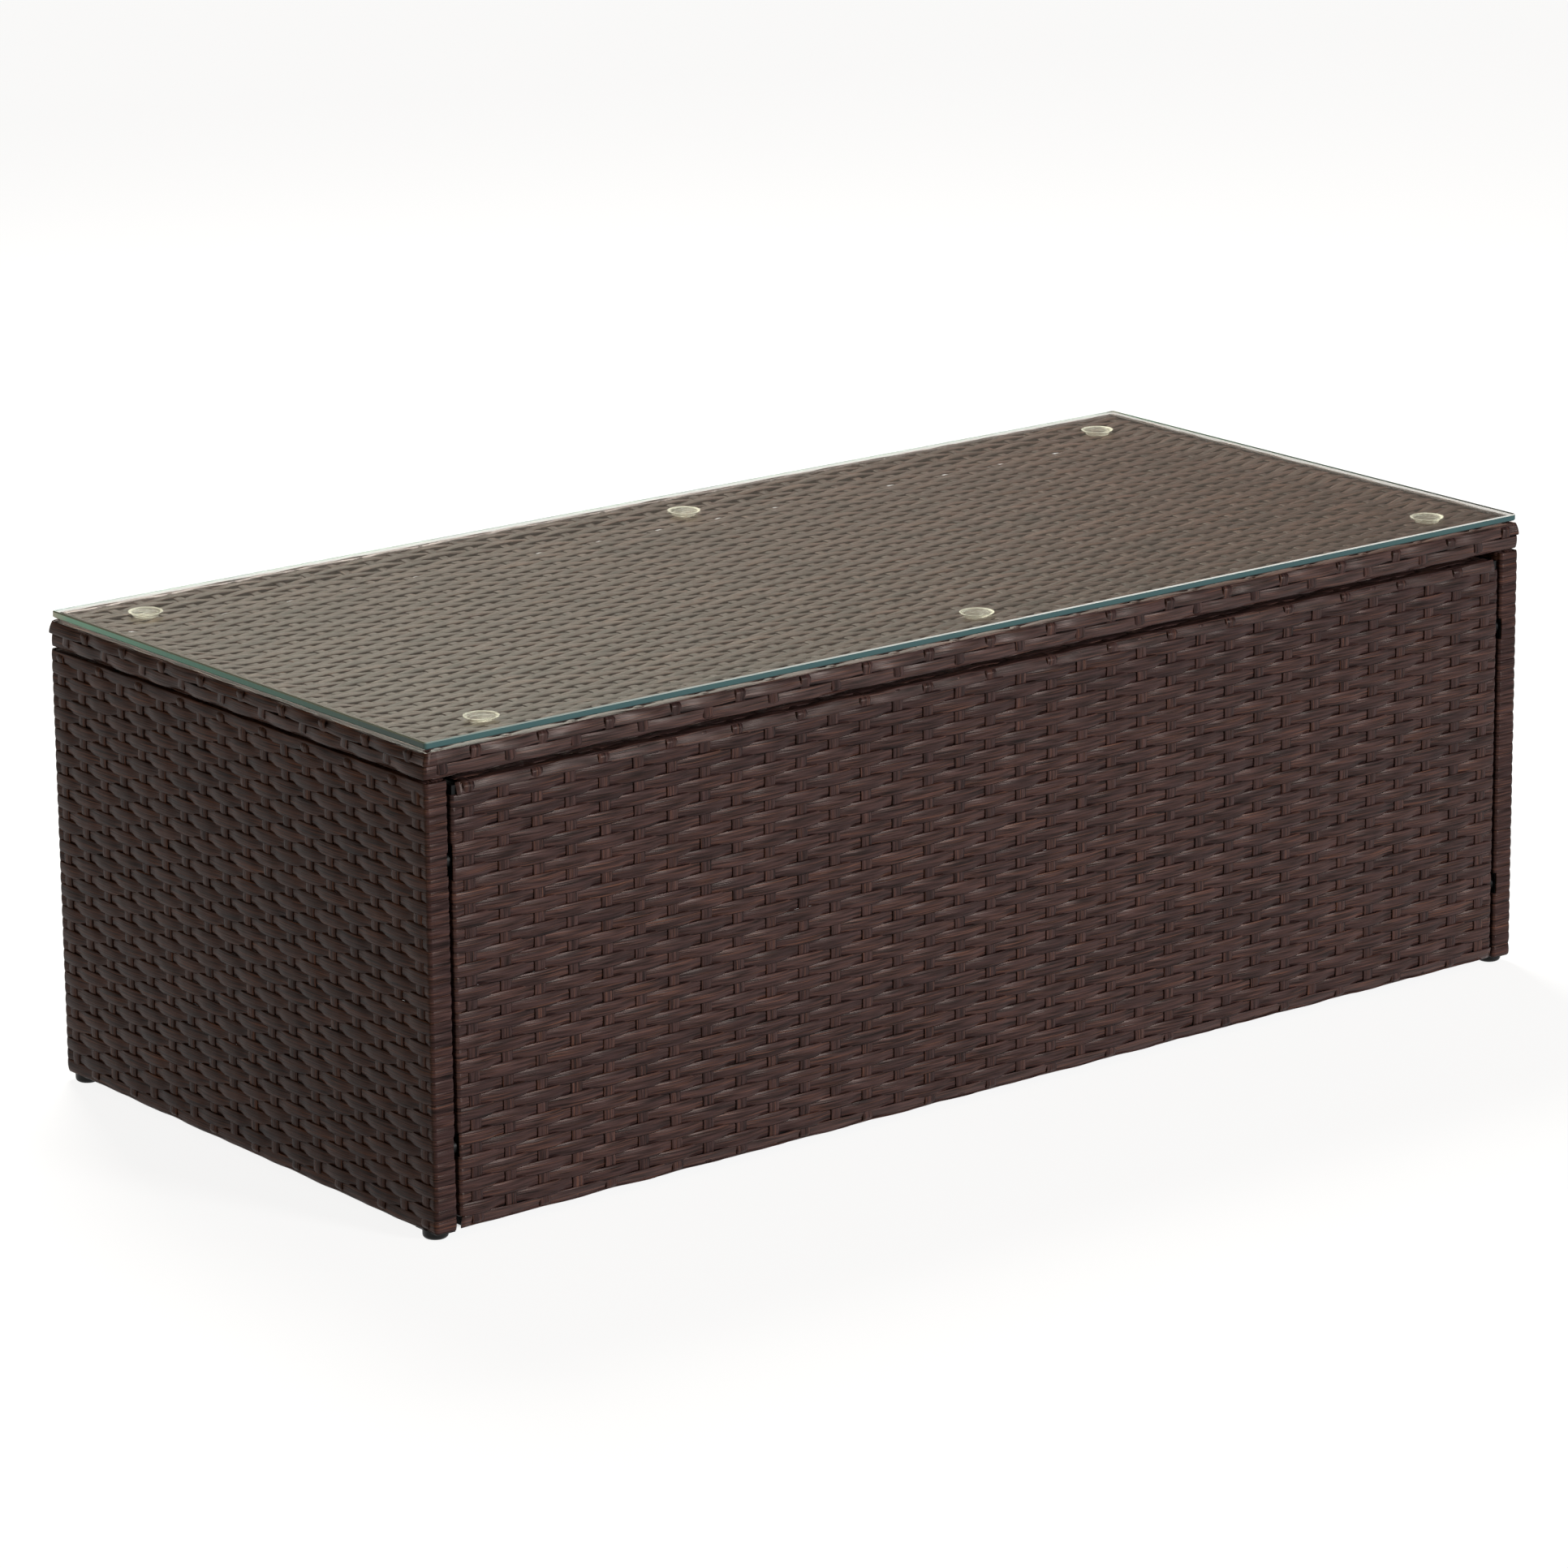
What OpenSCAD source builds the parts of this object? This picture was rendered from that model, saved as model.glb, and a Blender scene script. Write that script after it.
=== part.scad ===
// Wicker coffee table: a knock-down garden table of woven plastic strand on welded steel frames,
// with a loose sheet of toughened glass on clear suction pads.
// Millimetres. Origin on the floor under the middle of the table, +Z up, +X along the length,
// and the front panel faces -Y.

/* [Table] */
// Length over the two end panels and the lid
table_l = 1000; // [700:5:1400]
// Width over the end panels and the lid
table_w = 464; // [360:2:700]
// Height of the woven end panels
panel_h = 315; // [220:1:480]
// How far the front and back panels end below the end panels' tops
panel_drop = 3; // [0:0.5:6]
// Gap between a side panel and the end panel's post
panel_gap = 2; // [1:0.25:4]
// Gap between the end panels and the lid
lid_gap = 2.4; // [1:0.2:6]

/* [Frame tubes] */
// Outside size of the square steel tube
tube = 15; // [13:0.5:25]
// Width of the end posts, which are a flatter tube, along the end panel
post_w = 25; // [18:0.5:40]
// Wall of the steel tube
tube_wall = 1; // [0.8:0.1:1.5]
// Outside size of the smaller tube of the lid's cross bars
bar = 12; // [8:0.5:12]
// Distance of each lid cross bar from the middle of the table
bar_out = 165; // [80:5:250]

/* [Wicker] */
// Thickness of the woven strands on a base panel
weave_t = 1.6; // [1:0.1:2.5]
// Thickness of the woven strands on the lid, where two strands cross
lid_weave_t = 2.2; // [1.5:0.1:3]
// Thickness of the lid's woven field
field_t = 2.4; // [1.5:0.1:3]
// How far the lid's woven field lies below its rim
field_sag = 2.7; // [2:0.1:4]
// Radius where strands turn round a panel's upright edges
panel_r = 3.25; // [2.5:0.25:5]
// Radius where strands turn over a panel's top and bottom
panel_edge_r = 3; // [1.5:0.25:4]
// Radius of the lid's corners seen from above
lid_r = 4; // [3:0.5:10]
// Radius of the lid's top and bottom edges
lid_edge_r = 3; // [1.5:0.25:4]
// Frame left bare at each corner of a side panel
bare_corner = 8; // [4:0.5:12]

/* [Glass] */
// Thickness of the toughened glass
glass_t = 5; // [4:0.5:8]
// How far the glass edge lies inside the lid's edge
glass_inset = 1.5; // [0.5:0.25:8]
// Gap between the lid's rim and the glass
glass_gap = 1.6; // [1:0.1:4]
// Corner radius of the glass
glass_r = 2.5; // [1:0.5:20]

/* [Suction pads] */
// Diameter of a pad's lip against the glass
pad_lip_d = 25; // [16:0.5:30]
// Diameter of a pad's foot on the weave
pad_foot_d = 15; // [8:0.5:16]
// Thickness of a pad's foot
pad_foot_t = 1.2; // [0.6:0.1:1.6]
// Thickness of a pad's flaring wall
pad_wall = 0.8; // [0.5:0.1:1]
// Distance of the outer pads from the glass ends
pad_end = 58; // [40:1:120]
// Distance of the pads from the long glass edges
pad_side = 40; // [28:1:80]

/* [Feet] */
// Height of a foot below the end panel
foot_h = 7; // [6:0.5:20]
// Diameter of the round block that a foot stands on
foot_d = 18; // [15:0.5:18]
// Thickness of the flange that covers the end of the post
foot_flange_t = 1.5; // [1:0.1:3]
// Length of the plug that holds a foot in its post
foot_plug_l = 22; // [12:1:34]
// Play between a plug and the inside of the post, each side
plug_play = 0.1; // [0.05:0.05:0.2]
// Radius of a foot's lower edge
foot_edge_r = 3; // [1:0.25:5]
// Thickness of the cap on top of a post
cap_t = 1.2; // [0.8:0.1:2]
// Length of the cap's plug inside the post
cap_plug_l = 10; // [6:1:20]

/* [Fasteners] */
// Thread diameter of every bolt
bolt_d = 6; // [4:1:6]
// Diameter of the button head
head_d = 10.5; // [9:0.25:11]
// Height of the button head
head_h = 3.3; // [2.5:0.1:5]
// Hexagon socket across its corners
socket_d = 4.6; // [3:0.1:5]
// Depth of the hexagon socket
socket_h = 2; // [1:0.1:2.4]
// Play of a bolt in a plain hole, each side
bolt_play = 0.25; // [0.1:0.05:0.4]
// Play of a bolt in its thread, each side
thread_play = 0.05; // [0.02:0.01:0.1]
// Diameter of the flat washers
washer_d = 12; // [11:0.25:13]
// Thickness of the flat washers
washer_t = 1.6; // [1:0.1:2.5]
// Diameter of a rivet nut's body
nut_d = 9; // [8:0.25:9.5]
// Diameter of a rivet nut's flange
nut_flange_d = 12.5; // [11:0.25:13]
// Thickness of a rivet nut's flange
nut_flange_t = 1; // [0.6:0.1:1.5]
// Room left behind a rivet nut inside its tube
nut_tail = 1.5; // [1:0.1:3]
// Diameter of the black spacer between two frames
spacer_d = 12.5; // [11:0.25:13]
// Clearance of the strands round a spacer, each side
strand_clear = 1; // [0.5:0.25:2]
// Distance of the side bolts from the top and bottom of an end panel
bolt_in = 57; // [40:1:90]
// Distance of the lid bolts from the table's middle line
lid_bolt_out = 150; // [80:5:160]

/* [Hidden] */
$fn = 48;
over = 1;
// Thickness of a panel, with the strands on both sides of its tubes
panel_t = tube + 2 * weave_t;
panel_z = foot_h;
panel_top = panel_z + panel_h;
side_h = panel_h - panel_drop;
side_l = table_l - 2 * panel_t - 2 * panel_gap;
lid_z = panel_top + lid_gap;
rim = tube + 2 * lid_weave_t;
lid_top = lid_z + rim;
field_top = lid_top - field_sag;
glass_z = lid_top + glass_gap;
glass_l = table_l - 2 * glass_inset;
glass_w = table_w - 2 * glass_inset;
pad_h = glass_z - field_top;
// Each pad is pressed on by hand, so it sits a little off its own place.
// A row gives its end, its side, and its shift along and across the table
pads = [[-1, -1, 14, -3], [0, -1, 5, -3], [1, -1, 4, 0], [-1, 1, -5, -1], [0, 1, 33, -5], [1, 1, 7, 0]];
// Depth of the tubes' middle below a panel's face
mid = weave_t + tube / 2;
nut_l = tube - 2 * tube_wall - nut_tail;
// The spacers fill what lies between two frames, apart from the nut's flange
side_spacer = panel_gap + 2 * weave_t - nut_flange_t;
lid_spacer = lid_gap + weave_t + lid_weave_t - nut_flange_t;
bolt_heights = [panel_z + bolt_in, panel_top - bolt_in];
// Distance of the post's inner face from the table's middle
seat_x = table_l / 2 - weave_t - tube;
lid_seat_z = lid_z + lid_weave_t;
lid_bolt_x = table_l / 2 - mid;
post_y = table_w / 2 - weave_t - post_w / 2;
post_top = panel_top - weave_t - cap_t;

// Shared shapes

// Rectangle with round corners, centred in x, with its lower edge on y = 0
module round_rect(l, w, r) {
    translate([r - l / 2, 0]) square([l - 2 * r, w]);
    translate([-l / 2, r]) square([l, w - 2 * r]);
    for (x = [r - l / 2, l / 2 - r], y = [r, w - r]) translate([x, y]) circle(r);
}

// Square tube along +X. Its outer edge is on y = 0, and a mitred end is cut back towards y = tube
module frame_tube(l, start_mitre, end_mitre) {
    difference() {
        linear_extrude(tube)
            polygon([[0, 0], [l, 0], [l - end_mitre * tube, tube], [start_mitre * tube, tube]]);
        translate([-over, tube_wall, tube_wall])
            cube([l + 2 * over, tube - 2 * tube_wall, tube - 2 * tube_wall]);
    }
}

// Square tube of any size along +X, centred on its axis
module plain_tube(l, size) {
    difference() {
        translate([-l / 2, -size / 2, -size / 2]) cube([l, size, size]);
        translate([-l / 2 - over, tube_wall - size / 2, tube_wall - size / 2])
            cube([l + 2 * over, size - 2 * tube_wall, size - 2 * tube_wall]);
    }
}

// Places a panel drawn in x and y, with its face on z = 0 and its back below, on one side of the table
module on_side(turn, reach) {
    rotate([0, 0, turn]) translate([0, -reach, 0]) rotate([90, 0, 0]) children();
}

module on_front() { on_side(0, table_w / 2) children(); }
module on_back() { on_side(180, table_w / 2) children(); }
module on_left() { on_side(-90, table_l / 2) children(); }
module on_right() { on_side(90, table_l / 2) children(); }

// The space that a woven panel fills: upright edges and top and bottom edges are round
module panel_block(l, h) {
    translate([0, panel_z, 0]) intersection() {
        rotate([-90, 0, 0]) linear_extrude(h) round_rect(l, panel_t, panel_r);
        translate([-l / 2, h / 2, 0]) rotate([0, 90, 0]) rotate([0, 0, 90])
            linear_extrude(l) mirror([0, 1]) round_rect(h, panel_t, panel_edge_r);
    }
}

// The woven face of a panel
module panel_face(l, h) {
    intersection() {
        panel_block(l, h);
        translate([-l / 2 - over, panel_z - over, -weave_t])
            cube([l + 2 * over, h + 2 * over, weave_t + over]);
    }
}

// The strands wound round a panel's border tubes, behind the woven face. The child is the outline of
// those tubes seen from the front, and upright is the width of the two upright ones
module panel_wrap(l, h, upright) {
    wound = upright + 2 * weave_t;
    difference() {
        panel_block(l, h);
        translate([-l / 2 - over, panel_z - over, -weave_t])
            cube([l + 2 * over, h + 2 * over, weave_t + over]);
        translate([wound - l / 2, panel_z + panel_t, -panel_t - over])
            cube([l - 2 * wound, h - 2 * panel_t, panel_t + 2 * over]);
        translate([0, panel_z, -weave_t - tube]) linear_extrude(tube + over) difference() {
            children();
            translate([weave_t + upright - l / 2, weave_t + tube])
                square([l - 2 * weave_t - 2 * upright, h - 2 * weave_t - 2 * tube]);
        }
    }
}

// Places its children at every side bolt, with +Z along the bolt from its head to its nut
module at_side_bolts() {
    for (x = [-1, 1], y = [-1, 1], z = bolt_heights)
        translate([x * seat_x, y * (table_w / 2 - mid), z]) rotate([0, x * 90, 0]) children();
}

// Places its children at every lid bolt, with +Z along the bolt from its head to its nut
module at_lid_bolts() {
    for (x = [-1, 1], y = [-1, 1])
        translate([x * lid_bolt_x, y * lid_bolt_out, lid_seat_z]) children();
}

// Button-head bolt, with the seat of its nut's tube on z = 0 and its head on the far side of the other tube
module bolt(spacer_l) {
    head_z = -nut_flange_t - spacer_l - tube - washer_t;
    shank_r = bolt_d / 2 - thread_play;
    difference() {
        union() {
            translate([0, 0, head_z]) cylinder(r = shank_r, h = nut_l - head_z);
            translate([0, 0, head_z - head_h]) cylinder(d1 = head_d - head_h, d2 = head_d, h = head_h);
        }
        translate([0, 0, head_z - head_h - over]) cylinder(d = socket_d, h = socket_h + over, $fn = 6);
    }
}

module washer(spacer_l) {
    translate([0, 0, -nut_flange_t - spacer_l - tube - washer_t]) difference() {
        cylinder(d = washer_d, h = washer_t);
        translate([0, 0, -over]) cylinder(d = bolt_d + 2 * bolt_play, h = washer_t + 2 * over);
    }
}

module spacer(spacer_l) {
    translate([0, 0, -nut_flange_t - spacer_l]) difference() {
        cylinder(d = spacer_d, h = spacer_l);
        translate([0, 0, -over]) cylinder(d = bolt_d + 2 * bolt_play, h = spacer_l + 2 * over);
    }
}

// Rivet nut: its flange lies on the tube and its body passes through the wall
module rivet_nut() {
    difference() {
        union() {
            translate([0, 0, -nut_flange_t]) cylinder(d = nut_flange_d, h = nut_flange_t);
            cylinder(d = nut_d, h = nut_l);
        }
        translate([0, 0, -nut_flange_t - over]) cylinder(d = bolt_d, h = nut_l + nut_flange_t + 2 * over);
    }
}

// Hole for a rivet nut through one wall of its tube
module nut_hole() {
    translate([0, 0, -over]) cylinder(d = nut_d, h = tube_wall + 2 * over);
}

// Plain hole through the whole tube on the head's side
module bolt_hole(spacer_l) {
    translate([0, 0, -nut_flange_t - spacer_l - tube - over])
        cylinder(d = bolt_d + 2 * bolt_play, h = tube + 2 * over);
}

// Room among the strands for a spacer, a washer and a head
module strand_hole(spacer_l) {
    wide = max(spacer_d, washer_d, nut_flange_d) + 2 * strand_clear;
    reach = nut_flange_t + spacer_l + tube + max(weave_t, lid_weave_t) + over;
    translate([0, 0, -reach]) cylinder(d = wide, h = reach + weave_t);
}

// Feet and caps of the end posts

// Plastic plug in an end post: a round block to stand on, a flange over the tube's end and a stem
module foot(x, y) {
    color("black") translate([x * lid_bolt_x, y * post_y, 0]) {
        rotate_extrude() foot_profile();
        translate([-tube / 2, -post_w / 2, foot_h - foot_flange_t]) cube([tube, post_w, foot_flange_t]);
        translate([0, 0, foot_h]) post_plug(foot_plug_l);
    }
}

// Half a section of a foot's block, with a round lower edge
module foot_profile() {
    square([foot_d / 2 - foot_edge_r, foot_h]);
    translate([0, foot_edge_r]) square([foot_d / 2, foot_h - foot_edge_r]);
    translate([foot_d / 2 - foot_edge_r, foot_edge_r]) circle(foot_edge_r);
}

// The part of a plug inside a post
module post_plug(l) {
    inside = 2 * tube_wall + 2 * plug_play;
    translate([inside / 2 - tube / 2, inside / 2 - post_w / 2, 0]) cube([tube - inside, post_w - inside, l]);
}

module post_caps() {
    color("black") for (x = [-1, 1], y = [-1, 1])
        translate([x * lid_bolt_x, y * post_y, post_top]) {
            translate([-tube / 2, -post_w / 2, 0]) cube([tube, post_w, cap_t]);
            translate([0, 0, -cap_plug_l]) post_plug(cap_plug_l);
        }
}

module front_left_foot() { foot(-1, -1); }
module front_right_foot() { foot(1, -1); }
module back_left_foot() { foot(-1, 1); }
module back_right_foot() { foot(1, 1); }

// End panels

// Post: the foot plugs in below and the cap above. hand is 1 at the panel's +x side
module end_post(hand) {
    difference() {
        translate([hand * post_y - post_w / 2, panel_z, -weave_t - tube])
            cube([post_w, post_top - panel_z, tube]);
        translate([hand * post_y - post_w / 2 + tube_wall, panel_z - over, tube_wall - weave_t - tube])
            cube([post_w - 2 * tube_wall, post_top - panel_z + 2 * over, tube - 2 * tube_wall]);
    }
}

// Rail between the two posts, with its middle at height z
module end_rail(z) {
    translate([0, z, -mid]) plain_tube(table_w - 2 * weave_t - 2 * post_w, tube);
}

// The posts run down through the strands to meet the feet
module end_wrap() {
    reach = table_w / 2 - weave_t;
    high = panel_h - weave_t;
    panel_wrap(table_w, panel_h, post_w) polygon([
        [-reach, -over], [post_w - reach, -over], [post_w - reach, weave_t], [reach - post_w, weave_t],
        [reach - post_w, -over], [reach, -over], [reach, high], [-reach, high]
    ]);
}

module drilled_post() { difference() { children(); at_side_bolts() nut_hole(); } }
module drilled_end_rail() { difference() { children(); at_lid_bolts() bolt_hole(lid_spacer); } }
module parted_end_strands() {
    difference() {
        children();
        at_side_bolts() strand_hole(side_spacer);
        at_lid_bolts() strand_hole(lid_spacer);
    }
}

module left_front_post() { color("#1c1a19") drilled_post() on_left() end_post(1); }
module left_back_post() { color("#1c1a19") drilled_post() on_left() end_post(-1); }
module left_top_rail() { color("#1c1a19") drilled_end_rail() on_left() end_rail(panel_top - mid); }
module left_bottom_rail() { color("#1c1a19") on_left() end_rail(panel_z + mid); }
module left_weave() { color("#433331") on_left() panel_face(table_w, panel_h); }
module left_edge_wrap() { color("#433331") parted_end_strands() on_left() end_wrap(); }
module right_front_post() { color("#1c1a19") drilled_post() on_right() end_post(-1); }
module right_back_post() { color("#1c1a19") drilled_post() on_right() end_post(1); }
module right_top_rail() { color("#1c1a19") drilled_end_rail() on_right() end_rail(panel_top - mid); }
module right_bottom_rail() { color("#1c1a19") on_right() end_rail(panel_z + mid); }
module right_weave() { color("#433331") on_right() panel_face(table_w, panel_h); }
module right_edge_wrap() { color("#433331") parted_end_strands() on_right() end_wrap(); }

// Front and back panels

module side_stile(hand) {
    mirror([hand > 0 ? 0 : 1, 0, 0])
        translate([side_l / 2 - weave_t, panel_z + weave_t, -weave_t - tube]) rotate([0, 0, 90])
            frame_tube(side_h - 2 * weave_t, 1, 1);
}

// Rail: high is 1 for the top rail
module side_rail(high) {
    translate([weave_t - side_l / 2, panel_z + weave_t + high * (side_h - 2 * weave_t), -weave_t - tube])
        mirror([0, high, 0]) frame_tube(side_l - 2 * weave_t, 1, 1);
}

module side_upright() {
    translate([0, panel_z + side_h / 2, -mid]) rotate([0, 0, 90])
        plain_tube(side_h - 2 * weave_t - 2 * tube, tube);
}

// Frame corners that the strands leave bare
module bare_corners() {
    difference() {
        children();
        for (x = [-1, 1], z = [0, 1])
            translate([x * side_l / 2 - bare_corner, panel_z + z * side_h - bare_corner, -panel_t - over])
                cube([2 * bare_corner, 2 * bare_corner, panel_t + 2 * over]);
    }
}

// The upright passes through the strands to meet the rails
module side_wrap() {
    bare_corners() difference() {
        panel_wrap(side_l, side_h, tube)
            translate([weave_t - side_l / 2, weave_t]) square([side_l - 2 * weave_t, side_h - 2 * weave_t]);
        translate([-tube / 2, panel_z + weave_t + tube - over, -weave_t - tube])
            cube([tube, side_h - 2 * weave_t - 2 * tube + 2 * over, tube + over]);
    }
}

module drilled_stile() { difference() { children(); at_side_bolts() bolt_hole(side_spacer); } }
module parted_side_strands() { difference() { children(); at_side_bolts() strand_hole(side_spacer); } }

module front_left_stile() { color("#1c1a19") drilled_stile() on_front() side_stile(-1); }
module front_right_stile() { color("#1c1a19") drilled_stile() on_front() side_stile(1); }
module front_top_rail() { color("#1c1a19") on_front() side_rail(1); }
module front_bottom_rail() { color("#1c1a19") on_front() side_rail(0); }
module front_upright() { color("#1c1a19") on_front() side_upright(); }
module front_weave() { color("#433331") on_front() bare_corners() panel_face(side_l, side_h); }
module front_edge_wrap() { color("#433331") parted_side_strands() on_front() side_wrap(); }
module back_left_stile() { color("#1c1a19") drilled_stile() on_back() side_stile(1); }
module back_right_stile() { color("#1c1a19") drilled_stile() on_back() side_stile(-1); }
module back_top_rail() { color("#1c1a19") on_back() side_rail(1); }
module back_bottom_rail() { color("#1c1a19") on_back() side_rail(0); }
module back_upright() { color("#1c1a19") on_back() side_upright(); }
module back_weave() { color("#433331") on_back() bare_corners() panel_face(side_l, side_h); }
module back_edge_wrap() { color("#433331") parted_side_strands() on_back() side_wrap(); }

// Fasteners between the panels

module side_bolts() { color("#2a2a2b") at_side_bolts() bolt(side_spacer); }
module side_washers() { color("#8d8f92") at_side_bolts() washer(side_spacer); }
module side_spacers() { color("#131313") at_side_bolts() spacer(side_spacer); }
module side_rivet_nuts() { color("#8d8f92") at_side_bolts() rivet_nut(); }

// Lid

// The space that the lid's strands and frame fill
module lid_block() {
    intersection() {
        translate([0, -table_w / 2, lid_z]) linear_extrude(rim) round_rect(table_l, table_w, lid_r);
        translate([0, table_w / 2, lid_z]) rotate([90, 0, 0])
            linear_extrude(table_w) round_rect(table_l, rim, lid_edge_r);
        translate([-table_l / 2, 0, lid_z]) rotate([90, 0, 90])
            linear_extrude(table_l) round_rect(table_w, rim, lid_edge_r);
    }
}

// Long rail of the lid, at the front where back is 0
module lid_long_rail(back) {
    translate([lid_weave_t - table_l / 2, (2 * back - 1) * (table_w / 2 - lid_weave_t), lid_seat_z])
        mirror([0, back, 0]) frame_tube(table_l - 2 * lid_weave_t, 1, 1);
}

// Short rail of the lid, at the +X end where hand is 1
module lid_short_rail(hand) {
    mirror([hand > 0 ? 0 : 1, 0, 0])
        translate([table_l / 2 - lid_weave_t, lid_weave_t - table_w / 2, lid_seat_z]) rotate([0, 0, 90])
            frame_tube(table_w - 2 * lid_weave_t, 1, 1);
}

// Cross bar under the woven field
module lid_bar(hand) {
    translate([hand * bar_out, 0, field_top - field_t - bar / 2]) rotate([0, 0, 90])
        plain_tube(table_w - 2 * lid_weave_t - 2 * tube, bar);
}

module drilled_lid_rail() { difference() { children(); at_lid_bolts() nut_hole(); } }

module lid_front_rail() { color("#1c1a19") lid_long_rail(0); }
module lid_back_rail() { color("#1c1a19") lid_long_rail(1); }
module lid_left_rail() { color("#1c1a19") drilled_lid_rail() lid_short_rail(-1); }
module lid_right_rail() { color("#1c1a19") drilled_lid_rail() lid_short_rail(1); }
module lid_left_bar() { color("#1c1a19") lid_bar(-1); }
module lid_right_bar() { color("#1c1a19") lid_bar(1); }

// The woven field fills the frame's opening and lies on the cross bars
module lid_weave() {
    color("#433331") translate([rim - table_l / 2, rim - table_w / 2, field_top - field_t])
        cube([table_l - 2 * rim, table_w - 2 * rim, field_t]);
}

// The strands wound round the lid's four rails
module lid_edge_wrap() {
    color("#433331") difference() {
        lid_block();
        translate([rim - table_l / 2, rim - table_w / 2, lid_z - over])
            cube([table_l - 2 * rim, table_w - 2 * rim, rim + 2 * over]);
        difference() {
            translate([lid_weave_t - table_l / 2, lid_weave_t - table_w / 2, lid_seat_z])
                cube([table_l - 2 * lid_weave_t, table_w - 2 * lid_weave_t, tube]);
            translate([lid_weave_t + tube - table_l / 2, lid_weave_t + tube - table_w / 2, lid_seat_z - over])
                cube([table_l - 2 * lid_weave_t - 2 * tube, table_w - 2 * lid_weave_t - 2 * tube,
                    tube + 2 * over]);
        }
        for (hand = [-1, 1])
            translate([hand * bar_out - bar / 2, lid_weave_t + tube - table_w / 2, field_top - field_t - bar])
                cube([bar, table_w - 2 * lid_weave_t - 2 * tube, bar]);
        at_lid_bolts() strand_hole(lid_spacer);
    }
}

module lid_bolts() { color("#2a2a2b") at_lid_bolts() bolt(lid_spacer); }
module lid_washers() { color("#8d8f92") at_lid_bolts() washer(lid_spacer); }
module lid_spacers() { color("#131313") at_lid_bolts() spacer(lid_spacer); }
module lid_rivet_nuts() { color("#8d8f92") at_lid_bolts() rivet_nut(); }

// Glass and its pads

// Soft clear suction cup: a flat foot on the weave, a flaring wall and a hollow under its lip
module suction_pad() {
    foot_r = pad_foot_d / 2;
    lip_r = pad_lip_d / 2;
    rotate_extrude() polygon([
        [0, 0], [foot_r, 0], [foot_r, pad_foot_t], [lip_r, pad_h - pad_wall / 2],
        [lip_r, pad_h], [lip_r - pad_wall, pad_h], [foot_r - pad_wall, pad_foot_t + pad_wall], [0, pad_foot_t]
    ]);
}

module suction_pads() {
    color([0.9, 0.92, 0.88, 0.5])
        for (p = pads)
            translate([p[0] * (glass_l / 2 - pad_end) + p[2], p[1] * (glass_w / 2 - pad_side) + p[3]])
                translate([0, 0, field_top]) suction_pad();
}

module glass_top() {
    color([0.75, 0.9, 0.87, 0.4]) translate([0, -glass_w / 2, glass_z])
        linear_extrude(glass_t) round_rect(glass_l, glass_w, glass_r);
}

front_left_foot();
front_right_foot();
back_left_foot();
back_right_foot();
post_caps();
left_front_post();
left_back_post();
left_top_rail();
left_bottom_rail();
left_weave();
left_edge_wrap();
right_front_post();
right_back_post();
right_top_rail();
right_bottom_rail();
right_weave();
right_edge_wrap();
front_left_stile();
front_right_stile();
front_top_rail();
front_bottom_rail();
front_upright();
front_weave();
front_edge_wrap();
back_left_stile();
back_right_stile();
back_top_rail();
back_bottom_rail();
back_upright();
back_weave();
back_edge_wrap();
side_bolts();
side_washers();
side_spacers();
side_rivet_nuts();
lid_front_rail();
lid_back_rail();
lid_left_rail();
lid_right_rail();
lid_left_bar();
lid_right_bar();
lid_weave();
lid_edge_wrap();
lid_bolts();
lid_washers();
lid_spacers();
lid_rivet_nuts();
suction_pads();
glass_top();
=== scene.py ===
import bpy
import numpy as np
from mathutils import Matrix, Vector


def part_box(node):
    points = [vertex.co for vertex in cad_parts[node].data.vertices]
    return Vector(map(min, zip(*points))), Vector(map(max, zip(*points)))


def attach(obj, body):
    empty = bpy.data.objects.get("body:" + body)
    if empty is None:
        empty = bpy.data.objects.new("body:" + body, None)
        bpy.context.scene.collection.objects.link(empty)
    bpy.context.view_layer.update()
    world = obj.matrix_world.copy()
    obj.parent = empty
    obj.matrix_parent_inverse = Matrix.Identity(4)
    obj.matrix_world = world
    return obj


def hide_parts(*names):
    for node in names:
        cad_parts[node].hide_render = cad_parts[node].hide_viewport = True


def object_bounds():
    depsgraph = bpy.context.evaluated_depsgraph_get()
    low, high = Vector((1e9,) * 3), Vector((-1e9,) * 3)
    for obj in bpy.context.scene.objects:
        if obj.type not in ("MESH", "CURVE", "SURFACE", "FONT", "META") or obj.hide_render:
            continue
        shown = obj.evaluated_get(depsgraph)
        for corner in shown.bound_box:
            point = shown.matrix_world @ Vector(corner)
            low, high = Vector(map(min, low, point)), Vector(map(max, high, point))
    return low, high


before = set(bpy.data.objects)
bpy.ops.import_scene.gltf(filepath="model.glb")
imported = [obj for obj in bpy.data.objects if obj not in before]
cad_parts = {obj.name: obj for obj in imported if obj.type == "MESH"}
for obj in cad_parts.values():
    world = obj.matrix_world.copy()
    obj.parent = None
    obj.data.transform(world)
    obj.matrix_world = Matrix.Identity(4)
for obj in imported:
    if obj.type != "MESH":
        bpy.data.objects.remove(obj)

cad_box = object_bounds()

# Welded frames: square mild-steel tube with a matt black powder coat, one frame for each panel and one
# for the lid. Strands are wound over them, so steel shows only at corners, underneath and inside.


def srgb(code):
    """Linear RGBA of an sRGB hex colour."""
    c = np.array([int(code[i:i + 2], 16) for i in (1, 3, 5)]) / 255
    return (*np.where(c <= 0.04045, c / 12.92, ((c + 0.055) / 1.055) ** 2.4).tolist(), 1.0)


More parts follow.
